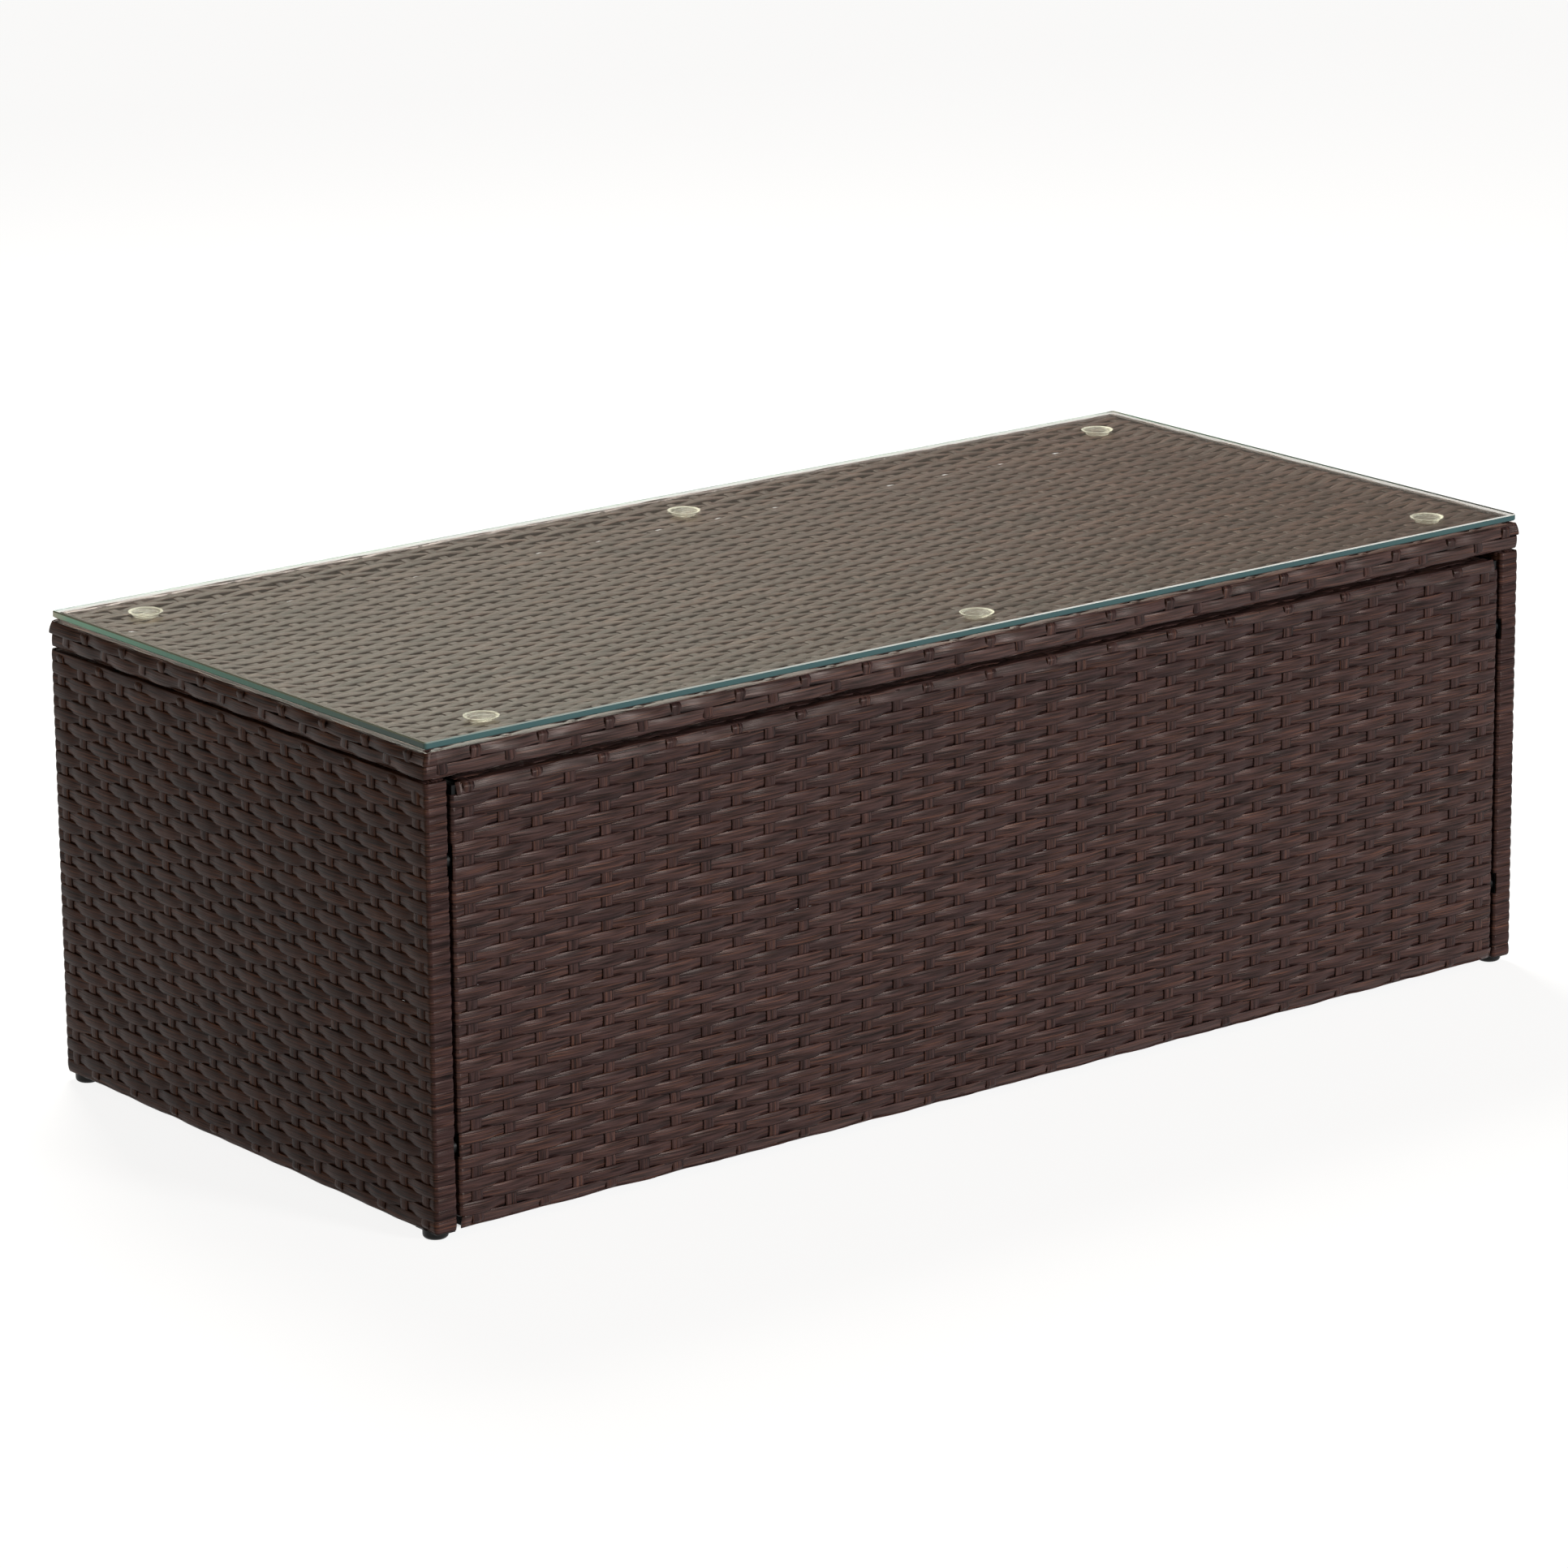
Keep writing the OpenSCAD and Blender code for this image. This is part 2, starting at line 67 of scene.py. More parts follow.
def add_node(tree, kind, inputs=None, **settings):
    """Adds a shader node: its properties from settings, and each input a value or another node's output."""
    made = tree.nodes.new("ShaderNode" + kind)
    for name, value in settings.items():
        setattr(made, name, value)
    for name, value in (inputs or {}).items():
        if isinstance(value, bpy.types.NodeSocket):
            tree.links.new(value, made.inputs[name])
        else:
            made.inputs[name].default_value = value
    return made


def new_material(name):
    """A material with an empty node tree."""
    made = bpy.data.materials.new(name)
    made.use_nodes = True
    made.node_tree.nodes.clear()
    return made


def shade(material, shader):
    """Sends a shader node to the material's surface."""
    add_node(material.node_tree, "OutputMaterial", {"Surface": shader.outputs[0]})
    return material


def finish_nodes(names, material):
    """Gives CAD nodes one finish."""
    for name in names:
        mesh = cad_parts[name].data
        mesh.materials.clear()
        mesh.materials.append(material)


def powder_coat():
    """Powder-coated steel: cured polymer grains leave an even matt black with fine orange peel."""
    made = new_material("black_powder_coated_steel")
    tree = made.node_tree
    place = add_node(tree, "TexCoord").outputs["Object"]
    peel_size = 0.9e-3
    peel = add_node(tree, "TexNoise", {"Vector": place, "Scale": 1 / peel_size, "Detail": 2.0})
    patch_size = 22e-3
    patch = add_node(tree, "TexNoise", {"Vector": place, "Scale": 1 / patch_size, "Detail": 3.0})
    colour = add_node(tree, "Mix", {"Factor": patch.outputs["Fac"], "A": srgb("#070708"),
                                    "B": srgb("#0f0f10")}, data_type="RGBA")
    rough = add_node(tree, "MapRange", {"Value": patch.outputs["Fac"], "To Min": 0.5, "To Max": 0.65})
    bump = add_node(tree, "Bump", {"Height": peel.outputs["Fac"], "Strength": 0.25, "Distance": 2e-4})
    return shade(made, add_node(tree, "BsdfPrincipled", {
        "Base Color": colour.outputs["Result"], "Roughness": rough.outputs["Result"],
        "Specular IOR Level": 0.15, "Normal": bump.outputs["Normal"]}))


tube_names = ("_post", "_rail", "_stile", "_upright", "_bar")
finish_nodes([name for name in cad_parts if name.endswith(tube_names)], powder_coat())

# Feet and post caps: plugs of black polypropylene, injection moulded with a fine spark texture and pressed
# into the open ends of the end posts. The feet scuff a little where they stand.


def moulded_plastic():
    """Injection-moulded polypropylene: near black, satin, with a fine spark-eroded grain."""
    made = new_material("moulded_black_polypropylene")
    tree = made.node_tree
    place = add_node(tree, "TexCoord").outputs["Object"]
    grain_size = 0.7e-3
    grain = add_node(tree, "TexNoise", {"Vector": place, "Scale": 1 / grain_size, "Detail": 3.0})
    scuff_size = 6e-3
    scuff = add_node(tree, "TexNoise", {"Vector": place, "Scale": 1 / scuff_size, "Detail": 6.0})
    height = add_node(tree, "SeparateXYZ", {"Vector": place})
    scuff_reach = 3e-3
    low = add_node(tree, "MapRange", {"Value": height.outputs["Z"], "From Max": scuff_reach,
                                      "To Min": 0.5, "To Max": 0.0})
    wear_and_sheen = add_node(tree, "Math", {0: scuff.outputs["Fac"], 1: low.outputs["Result"]}, operation="MULTIPLY")
    colour = add_node(tree, "Mix", {"Factor": wear_and_sheen.outputs[0], "A": srgb("#070707"),
                                    "B": srgb("#353331")}, data_type="RGBA")
    rough = add_node(tree, "MapRange", {"Value": scuff.outputs["Fac"], "To Min": 0.3, "To Max": 0.5})
    bump = add_node(tree, "Bump", {"Height": grain.outputs["Fac"], "Strength": 0.2, "Distance": 1.5e-4})
    return shade(made, add_node(tree, "BsdfPrincipled", {
        "Base Color": colour.outputs["Result"], "Roughness": rough.outputs["Result"],
        "Specular IOR Level": 0.2, "Normal": bump.outputs["Normal"]}))


plastic = moulded_plastic()
finish_nodes([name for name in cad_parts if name.endswith("_foot")] + ["post_caps"], plastic)

# Fasteners: black-oxide button-head bolts with black zinc-plated washers and rivet nuts, and black
# moulded spacers that hold two frames apart where they are bolted together.


def black_oxide():
    """Black-oxide steel: a thin dark conversion layer on metal, with a slightly oily sheen."""
    made = new_material("black_oxide_steel")
    tree = made.node_tree
    place = add_node(tree, "TexCoord").outputs["Object"]
    stain_size = 3e-3
    stain = add_node(tree, "TexNoise", {"Vector": place, "Scale": 1 / stain_size, "Detail": 4.0})
    colour = add_node(tree, "Mix", {"Factor": stain.outputs["Fac"], "A": srgb("#1f1f21"),
                                    "B": srgb("#39383a")}, data_type="RGBA")
    rough = add_node(tree, "MapRange", {"Value": stain.outputs["Fac"], "To Min": 0.3, "To Max": 0.5})
    return shade(made, add_node(tree, "BsdfPrincipled", {
        "Base Color": colour.outputs["Result"], "Metallic": 1.0, "Roughness": rough.outputs["Result"]}))


def black_zinc():
    """Black-passivated zinc plating on steel: dark grey metal, a little cloudy from handling."""
    made = new_material("black_zinc_plated_steel")
    tree = made.node_tree
    place = add_node(tree, "TexCoord").outputs["Object"]
    cloud_size = 2.5e-3
    cloud = add_node(tree, "TexNoise", {"Vector": place, "Scale": 1 / cloud_size, "Detail": 4.0})
    colour = add_node(tree, "Mix", {"Factor": cloud.outputs["Fac"], "A": srgb("#141416"),
                                    "B": srgb("#26262a")}, data_type="RGBA")
    rough = add_node(tree, "MapRange", {"Value": cloud.outputs["Fac"], "To Min": 0.35, "To Max": 0.5})
    return shade(made, add_node(tree, "BsdfPrincipled", {
        "Base Color": colour.outputs["Result"], "Metallic": 1.0, "Roughness": rough.outputs["Result"]}))


finish_nodes(["side_bolts", "lid_bolts"], black_oxide())
finish_nodes(["side_washers", "lid_washers", "side_rivet_nuts", "lid_rivet_nuts"], black_zinc())
finish_nodes(["side_spacers", "lid_spacers"], plastic)

# Wicker of the four base panels: flat extruded polyethylene strand in a plain weave. Upright strands are
# stretched over the rails first, and cross strands are then woven through them and turned round the posts.

MM = 1e-3
strand_w = 9.3
strand_t = 1.2
# Share by which a strand spreads where it lies over another, and draws in where it is under
spread = 0.08
upright_rise = 0.25
# A strand's own section, as shares of its width and thickness, anticlockwise: a crowned face, thin edges
# and a flat back
section = np.array([(0.5, 0.0), (0.42, 0.24), (0.27, 0.44), (0.09, 0.55), (-0.09, 0.55), (-0.27, 0.44),
                    (-0.42, 0.24), (-0.5, 0.0), (-0.38, -0.45), (0.38, -0.45)])


def unit(v):
    """Vectors at length one."""
    return v / np.linalg.norm(v, axis=-1, keepdims=True)


def wander(rng, count, along, wave, size):
    """Slow drift of each strand: two sine waves of random phase, the second 2.6 times as short and half
    as big."""
    phase = rng.uniform(0, 2 * np.pi, (2, count, 1))
    turn = 2 * np.pi * along / wave
    return size * (np.sin(turn + phase[0]) + 0.5 * np.sin(2.6 * turn + phase[1]))


def lay_strands(rng, line, facing, width=strand_w, roll=0.0):
    """Flat strands along their centre lines, as (vertices, quads, place on the strand).

    The section is carried along each line: across is facing x tangent, out is tangent x across, and both
    are turned about the line by roll. line and facing hold one row per strand and one column per station,
    and so may width and roll. The ends are closed by quads from one side of the section to the other."""
    tangent = unit(np.gradient(line, axis=1))
    across = unit(np.cross(facing, tangent))
    out = np.cross(tangent, across)
    roll = np.broadcast_to(roll, line.shape[:2])[..., None]
    width = np.broadcast_to(width, line.shape[:2])[..., None, None]
    across, out = across * np.cos(roll) + out * np.sin(roll), out * np.cos(roll) - across * np.sin(roll)
    wide = section[:, 0, None] * width
    thick = section[:, 1, None] * strand_t
    vertices = line[:, :, None] + across[:, :, None] * wide + out[:, :, None] * thick
    strands, stations, corners = vertices.shape[:3]
    run = np.concatenate([np.zeros((strands, 1)),
                          np.linalg.norm(np.diff(line, axis=1), axis=2).cumsum(axis=1)], axis=1)
    place = np.empty(vertices.shape)
    place[..., 0] = run[:, :, None]
    place[..., 1] = wide[..., 0]
    place[..., 2] = rng.uniform(0, 1000, (strands, 1, 1))
    index = np.arange(strands * stations * corners).reshape(strands, stations, corners)
    following = np.roll(index, -1, axis=2)
    sides = np.stack([index[:, :-1], following[:, :-1], following[:, 1:], index[:, 1:]], axis=-1)
    k = np.arange(corners // 2 - 1)
    first, last = index[:, 0], index[:, -1]
    start = np.stack([first[:, k], first[:, -1 - k], first[:, -2 - k], first[:, k + 1]], axis=-1)
    end = np.stack([last[:, k], last[:, k + 1], last[:, -2 - k], last[:, -1 - k]], axis=-1)
    quads = np.concatenate([sides.reshape(-1, 4), start.reshape(-1, 4), end.reshape(-1, 4)])
    return vertices.reshape(-1, 3), quads, place.reshape(-1, 3)


def mesh_piece(name, vertices, quads, material):
    """A smooth mesh object of quads from arrays in millimetres, at the origin."""
    mesh = bpy.data.meshes.new(name)
    mesh.vertices.add(len(vertices))
    mesh.vertices.foreach_set("co", (vertices * MM).astype(np.float32).ravel())
    mesh.loops.add(quads.size)
    mesh.loops.foreach_set("vertex_index", quads.astype(np.int32).ravel())
    mesh.polygons.add(len(quads))
    mesh.polygons.foreach_set("loop_start", np.arange(0, quads.size, 4, dtype=np.int32))
    mesh.update(calc_edges=True)
    mesh.validate()
    mesh.shade_smooth()
    mesh.materials.append(material)
    piece = bpy.data.objects.new(name, mesh)
    bpy.context.scene.collection.objects.link(piece)
    return piece


# Worn strands are rubbed only on the long sides, this far from the table's ends
rubbed_room = 8.0


def woven_piece(name, finish, plain, wear_and_sheen, *nodes):
    """Joins runs of plain and of worn strands into one piece, which rides on the table's base and replaces
    CAD nodes."""
    runs = plain + wear_and_sheen
    shift = np.cumsum([0] + [len(run[0]) for run in runs[:-1]])
    vertices = np.concatenate([run[0] for run in runs])
    quads = np.concatenate([run[1] + first for run, first in zip(runs, shift)])
    piece = mesh_piece(name, vertices, quads, finish)
    if wear_and_sheen:
        piece.data.materials.append(worn_wicker)
        rubbed = np.arange(len(quads)) >= sum(len(run[1]) for run in plain)
        rubbed &= np.abs(vertices[quads[:, 0], 0]) < cad_box[1][0] / MM - rubbed_room
        piece.data.polygons.foreach_set("material_index", rubbed.astype(np.int32))
    places = np.concatenate([run[2] for run in runs]) * MM
    place = piece.data.attributes.new("strand_place", "FLOAT_VECTOR", "POINT")
    place.data.foreach_set("vector", places.astype(np.float32).ravel())
    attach(piece, "table_base")
    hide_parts(*nodes)
    return piece


def extruded_strand(name, gloss):
    """Extruded polyethylene strand: dark brown, with lengthwise streaks drawn out by the die, some of them
    thin and orange-brown, fine ribs and a satin sheen. Each strand has its own shade."""
    made = new_material(name)
    tree = made.node_tree
    place = add_node(tree, "Attribute", attribute_name="strand_place").outputs["Vector"]

    def drawn_out(length, width, detail):
        """Noise stretched along the strand, as long and as wide as given, and different on each strand."""
        stretched = add_node(tree, "VectorMath", {0: place, 1: (1 / length, 1 / width, 1 / MM)},
                             operation="MULTIPLY")
        return add_node(tree, "TexNoise", {"Vector": stretched.outputs[0], "Scale": 1.0,
                                           "Detail": detail}).outputs["Fac"]

    streak = add_node(tree, "ValToRGB", {"Fac": drawn_out(28e-3, 1.5e-3, 3.0)})
    for stop, code in zip(streak.color_ramp.elements, ("#160d0d", "#544140")):
        stop.color = srgb(code)
    streak.color_ramp.elements[0].position = 0.3
    streak.color_ramp.elements[1].position = 0.7
    thin = add_node(tree, "MapRange", {"Value": drawn_out(45e-3, 0.6e-3, 1.0), "From Min": 0.57,
                                       "From Max": 0.75, "To Max": 0.8})
    brown = add_node(tree, "Mix", {"Factor": thin.outputs["Result"], "A": streak.outputs["Color"],
                                   "B": srgb("#765445")}, data_type="RGBA")
    apart = add_node(tree, "SeparateXYZ", {"Vector": place})
    own = add_node(tree, "TexWhiteNoise", {"W": apart.outputs["Z"]}, noise_dimensions="1D")
    tint = add_node(tree, "Mix", {"Factor": own.outputs["Value"], "A": srgb("#d4cdd0"),
                                  "B": srgb("#fff3ef")}, data_type="RGBA")
    colour = add_node(tree, "Mix", {"Factor": 1.0, "A": brown.outputs["Result"],
                                    "B": tint.outputs["Result"]}, data_type="RGBA", blend_type="MULTIPLY")
    rib = drawn_out(50e-3, 0.9e-3, 2.0)
    bump = add_node(tree, "Bump", {"Height": rib, "Strength": 0.8, "Distance": 3e-4})
    rough = add_node(tree, "MapRange", {"Value": rib, "To Min": 0.26, "To Max": 0.42})
    return shade(made, add_node(tree, "BsdfPrincipled", {
        "Base Color": colour.outputs["Result"], "Roughness": rough.outputs["Result"], "IOR": 1.5,
        "Specular IOR Level": gloss, "Specular Tint": srgb("#ffeee6"), "Normal": bump.outputs["Normal"]}))


wicker = extruded_strand("extruded_polyethylene_strand", 0.13)
# The end panels look duller, so their strand is given less gloss
dull_wicker = extruded_strand("dull_polyethylene_strand", 0.08)
# Strands on the edges are stretched and rubbed smooth
worn_wicker = extruded_strand("polyethylene_strand_rubbed_smooth", 0.22)


def wound_line(face, half, depth, turn, tail, sweep=180):
    """Centre line of a strand across a face and round its two edges, as points and outward directions.

    In the plane (along, out): straight along the face at out = 0, a quarter circle of radius turn, straight
    to the back at out = -depth, a second quarter circle, and a tail behind the face. sweep is the angle
    through which the strand turns before it is cut."""
    bend = 6
    angle = np.radians(np.concatenate([np.linspace(0, 90, bend), np.linspace(90, 180, bend), [180]]))
    way = np.stack([np.sin(angle), np.cos(angle)], axis=1)
    end = turn * way + (half - turn, -turn)
    end[bend:, 1] += 2 * turn - depth
    end[-1, 0] -= tail
    kept = angle <= np.radians(sweep) + 1e-6
    kept[-1] = sweep >= 180
    end, way = end[kept], way[kept]
    mirror = np.array((-1, 1))
    points = np.concatenate([end[::-1] * mirror, np.stack([face, 0 * face], axis=1), end])
    ways = np.concatenate([way[::-1] * mirror, np.tile((0.0, 1.0), (len(face), 1)), way])
    return points, ways


def over_under(place, strand):
    """1 where a strand lies over the strand it crosses and -1 where it lies under: a cosine, flattened by
    a hyperbolic tangent."""
    flatness = 1.5
    return np.tanh(flatness * np.cos(np.pi * (place + strand))) / np.tanh(flatness)


def smooth_step(t):
    """0 up to t = 0, t * t * (3 - 2 * t) on the way to t = 1, and 1 beyond."""
    t = np.clip(t, 0, 1)
    return t * t * (3 - 2 * t)


def edge_fade(places, reach, pitch):
    """0 at an edge that lies reach from the middle, and 1 from the first crossing inwards."""
    return smooth_step((reach - np.abs(places)) / (pitch / 2))


def stations(count, pitch, per_pitch, spare):
    """Even places along a row of count pitches, centred on 0, that keep spare clear of its ends."""
    reach = count * pitch / 2
    places = np.linspace(-reach, reach, count * per_pitch + 1)
    return places[np.abs(places) < reach - spare]


def weave_panel(side, seed, length, reach, low, high, turn, columns, rows, first, cross_rise, wrap, bolts,
                cut, bare):
    """Weaves one base panel, drawn as (along, up, out) and turned about the table's middle by turn degrees.

    Cross strands rise and fall by over_under at each column, turn round the panel's upright edges and end
    behind it. Upright strands do the same, less, at each row. Near a bolt the cross strands end after
    cut degrees of their turn, and the top and bottom ones stop short by bare where a frame corner shows."""
    rng = np.random.default_rng(seed)
    a = np.radians(turn)
    axes = np.array([(np.cos(a), np.sin(a), 0), (0, 0, 1), (np.sin(a), -np.cos(a), 0)])
    height = high - low
    deep = 0.6
    depth = panel_t - 2 * deep
    column = length / columns
    row = height / rows
    middle = np.array((0, (low + high) / 2, reach - deep))

    def cross_run(numbers, points, ways, ups, lean, rise, lay=0, twist=2):
        """Cross strands at heights ups, which lean in the plane (up, out) by lean and are turned about
        themselves by lay degrees, give or take twist."""
        along = points[:, 0]
        count = len(numbers)
        over = over_under((along + length / 2) / column - 0.5, numbers[:, None] + first)
        over = over * edge_fade(along, length / 2, column)
        lift = rise * over + wander(rng, count, along, wave=90, size=0.06)
        across = wander(rng, count, along, wave=260, size=0.1)
        line = np.empty((count, len(along), 3))
        line[..., 0] = along + lift * ways[:, 0]
        line[..., 1] = ups[:, None] + lift * lean[0] + across * lean[1]
        line[..., 2] = points[:, 1] + lift * ways[:, 1] * lean[1]
        facing = np.stack([ways[:, 0], lean[0] + 0 * along, ways[:, 1] * lean[1]], axis=1)
        facing = np.broadcast_to(facing, line.shape)
        roll = wander(rng, count, along, wave=75, size=np.radians(twist)) + np.radians(lay)
        width = strand_w * (1 + spread * over * (rise == cross_rise))
        return lay_strands(rng, (line + middle) @ axes, facing @ axes, width, roll)

    face = stations(columns, column, per_pitch=6, spare=edge_turn + 1.5)
    numbers = np.arange(rows)
    ups = (numbers + 0.5) * row - height / 2
    near_bolt = np.min(np.abs(ups[:, None] + middle[1] - bolts), axis=1) < bolt_room
    edge = numbers % (rows - 1) == 0
    half = length / 2 - deep
    upright = (0.0, 1.0)
    runs = []
    for group, sweep in ((~near_bolt & ~edge, 180), (near_bolt, cut)):
        points, ways = wound_line(face, half, depth, edge_turn, wrap, sweep)
        runs.append(cross_run(numbers[group], points, ways, ups[group], upright, cross_rise))
    short = face[np.abs(face) < length / 2 - bare]
    flat = np.stack([short, 0 * short], axis=1)
    level = np.tile((0.0, 1.0), (len(short), 1))
    wear_and_sheen = []
    for number, lay, inset in ((0, edge_lay, bare / 4), (rows - 1, -edge_lay, bare)):
        one = np.array([number])
        ends = np.concatenate([[inset - length / 2], face, [length / 2 - inset]])
        ends = ends[np.abs(ends) <= length / 2 - inset]
        points = np.stack([ends, 0 * ends - edge_sink], axis=1)
        ways = np.tile((0.0, 1.0), (len(ends), 1))
        if not bare:
            points, ways = wound_line(face, half, depth, edge_turn, wrap)
            lay = 0
        edge_run = cross_run(one, points, ways, ups[one], upright, edge_rise, lay, edge_twist)
        (wear_and_sheen if bare else runs).append(edge_run)
    finish = wicker if bare else dull_wicker
    woven_piece(side + "_cross_strands", finish, runs, wear_and_sheen, side + "_weave")

    # Upright strands, and the cross strands on top of, below and behind the rails
    rise_face = stations(rows, row, per_pitch=2, spare=4)
    climb, ways_up = wound_line(rise_face, height / 2 - deep, depth, rail_turn, rail_tail)
    count = np.arange(columns)
    lift = -upright_rise * over_under((climb[:, 0] + height / 2) / row - 0.5, count[:, None] + first)
    at_edge = np.clip(1 - np.abs(height / 2 - row / 2 - np.abs(climb[:, 0])) / row, 0, 1)
    lift = (lift + edge_lift * at_edge * (lift > 0)) * edge_fade(climb[:, 0], height / 2, row)
    line = np.empty((columns, len(climb), 3))
    line[..., 0] = ((count + 0.5) * column - length / 2)[:, None]
    line[..., 0] += wander(rng, columns, climb[:, 0], wave=330, size=0.5)
    line[..., 1] = climb[:, 0] + lift * ways_up[:, 0]
    line[..., 2] = climb[:, 1] + lift * ways_up[:, 1]
    facing = np.stack([0 * climb[:, 0], ways_up[:, 0], ways_up[:, 1]], axis=1)
    facing = np.broadcast_to(facing, line.shape)
    roll = wander(rng, columns, climb[:, 0], wave=120, size=np.radians(1.5))
    runs = [lay_strands(rng, (line + middle) @ axes, facing @ axes, roll=roll)]
    for end in (-1, 1):
        for step in range(2):
            flat[:, 1] = -depth * (2 * step + 1) / 4
            top = np.array([end * (height / 2 - deep)])
            runs.append(cross_run(np.array([step]), flat, level, top, (end, 0.0), rail_rise))
            flat[:, 1] = -depth
            behind = np.array([end * (height / 2 - (step + 0.5) * row)])
            runs.append(cross_run(np.array([step]), flat, level, behind, (0.0, -1.0), cross_rise))
    woven_piece(side + "_upright_strands", finish, runs, [], side + "_edge_wrap")


edge_turn = 2.4
rail_turn = 3.0
rail_tail = 13.0
rail_rise = 0.35
bolt_room = 10.0
# The top and bottom cross strands lean back over the rails and lie a little deeper
edge_lay = 15
edge_sink = 0.2
edge_rise = 0.3
edge_twist = 4
# The upright strands rise so much more where they lie over these
edge_lift = 0.7
panel_boxes = {}
for side in ("front", "back", "left", "right"):
    corners = np.array([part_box(side + "_weave"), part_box(side + "_edge_wrap")]) / MM
    panel_boxes[side] = corners[:, 0].min(axis=0), corners[:, 1].max(axis=0)
panel_t = panel_boxes["front"][1][1] - panel_boxes["front"][0][1]
bolt_head_r = 5.25
bolt_low, bolt_high = np.array(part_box("side_bolts"))[:, 2] / MM
bolt_heights = np.array((bolt_low + bolt_head_r, bolt_high - bolt_head_r))
for side, turn, seed in (("front", 0, 11), ("back", 180, 12)):
    (x0, y0, z0), (x1, y1, z1) = panel_boxes[side]
    weave_panel(side, seed, x1 - x0, max(-y0, y1), z0, z1, turn, columns=34, rows=37, first=1,
                cross_rise=1.05, wrap=13.0, bolts=bolt_heights, cut=60, bare=5.0)
for side, turn, seed in (("left", -90, 13), ("right", 90, 14)):
    (x0, y0, z0), (x1, y1, z1) = panel_boxes[side]
    weave_panel(side, seed, y1 - y0, max(-x0, x1), z0, z1, turn, columns=18, rows=38, first=0,
                cross_rise=0.85, wrap=22.0, bolts=bolt_heights, cut=120, bare=0.0)

# Lid: long strands run the table's length and cross strands its width in the same plain weave, which sags a
# little inside the rim. Two band strands run round the rim, and the strands that turn over it bind them.

rim_box = np.array(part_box("lid_edge_wrap")) / MM
half_l, half_w, lid_top = rim_box[1]
rim = lid_top - rim_box[0][2]
field_sag = lid_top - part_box("lid_weave")[1].z / MM
# The field starts to dip so far inside the lid's edge, and reaches its depth so much further in
dip_start = 13.0
dip_reach = 30.0
lid_deep = 1.2
lid_depth = rim - 2 * lid_deep
lid_turn = 3.0
lid_tail = 13.0
lid_rise = 0.75
lid_strand_w = 8.7
band_rise = 0.65
band_w = 9.3
# The bands lie so much further out than the strands that bind them, and turn the corners in this radius
band_out = 0.5
band_turn = 2.2
# Corner radius of the two strands under the rim
under_turn = 3.0
# Strands rise so much more over the bands, at the rim's top and at its bottom
bind_more = (1.1, 0.2)
# The upper band leans back over the rim
band_lay = 14
long_rows = 56
cross_rows = 36
lid_first = 1
row_y = 2 * half_w / long_rows
row_x = 2 * half_l / cross_rows
# Every third long strand turns down over the ends, where it binds the bands
bind_step = 3
bind_first = 2
bind_count = len(range(bind_first, long_rows, bind_step))


def field_dip(x, y):
    """Depth of the woven field below the rim: smooth steps in from the rim, along times across."""
    along = smooth_step((half_l - np.abs(x) - dip_start) / dip_reach)
    across = smooth_step((half_w - np.abs(y) - dip_start) / dip_reach)
    return field_sag * along * across


def bind_lift(down, number):
    """Rise of a strand at a depth below the rim's top, where it goes over one band and under the next."""
    near_turn = np.clip(down / lid_turn, 0, 1) * np.clip((lid_depth - down) / lid_turn, 0, 1)
    over = over_under((down - rim / 4 + lid_deep) / (rim / 2), number + lid_first)
    more = np.maximum(over, 0) * np.interp(down, (0, lid_depth), bind_more)
    return (band_rise + more) * over * near_turn


def long_run(rng, numbers, sweep, reach, rise=lid_rise):
    """Long strands of the lid: over_under at each cross strand, less the dip, and turned down by sweep."""
    face = stations(cross_rows, row_x, per_pitch=4, spare=half_l - reach + 4.5)
    points, ways = wound_line(face, reach, lid_depth, lid_turn, lid_tail, sweep)
    along = points[:, 0]
    over = over_under((along + half_l) / row_x - 0.5, numbers[:, None] + lid_first)
    over = over * edge_fade(along, half_l, row_x)
    lift = rise * over + wander(rng, len(numbers), along, wave=110, size=0.05)
    bind = (numbers[:, None] - bind_first) // bind_step
    bind = np.where(along > 0, bind, bind_count - 1 - bind)
    lift = np.where(points[:, 1] < 0, bind_lift(-points[:, 1], bind), lift)
    line = np.empty((len(numbers), len(along), 3))
    line[..., 0] = along + lift * ways[:, 0]
    line[..., 1] = ((numbers + 0.5) * row_y - half_w)[:, None]
    line[..., 1] += wander(rng, len(numbers), along, wave=280, size=0.15)
    line[..., 2] = lid_top - lid_deep + points[:, 1] + lift * ways[:, 1] - field_dip(along, line[..., 1])
    facing = np.broadcast_to(np.stack([ways[:, 0], 0 * along, ways[:, 1]], axis=1), line.shape)
    roll = wander(rng, len(numbers), along, wave=80, size=np.radians(1.5))
    return lay_strands(rng, line, facing, lid_strand_w * (1 + spread * over), roll)


rng = np.random.default_rng(21)
numbers = np.arange(long_rows)
binds = numbers % bind_step == bind_first
outer = numbers % (long_rows - 1) == 0
corner_room = 4.0
outer_rise = 0.25
lid_field = woven_piece("lid_long_strands", wicker, [
    long_run(rng, numbers[binds], 180, half_l - lid_deep),
    long_run(rng, numbers[~binds & ~outer], 45, half_l - lid_deep),
    long_run(rng, numbers[outer], 45, half_l - corner_room, outer_rise)], [], "lid_weave")

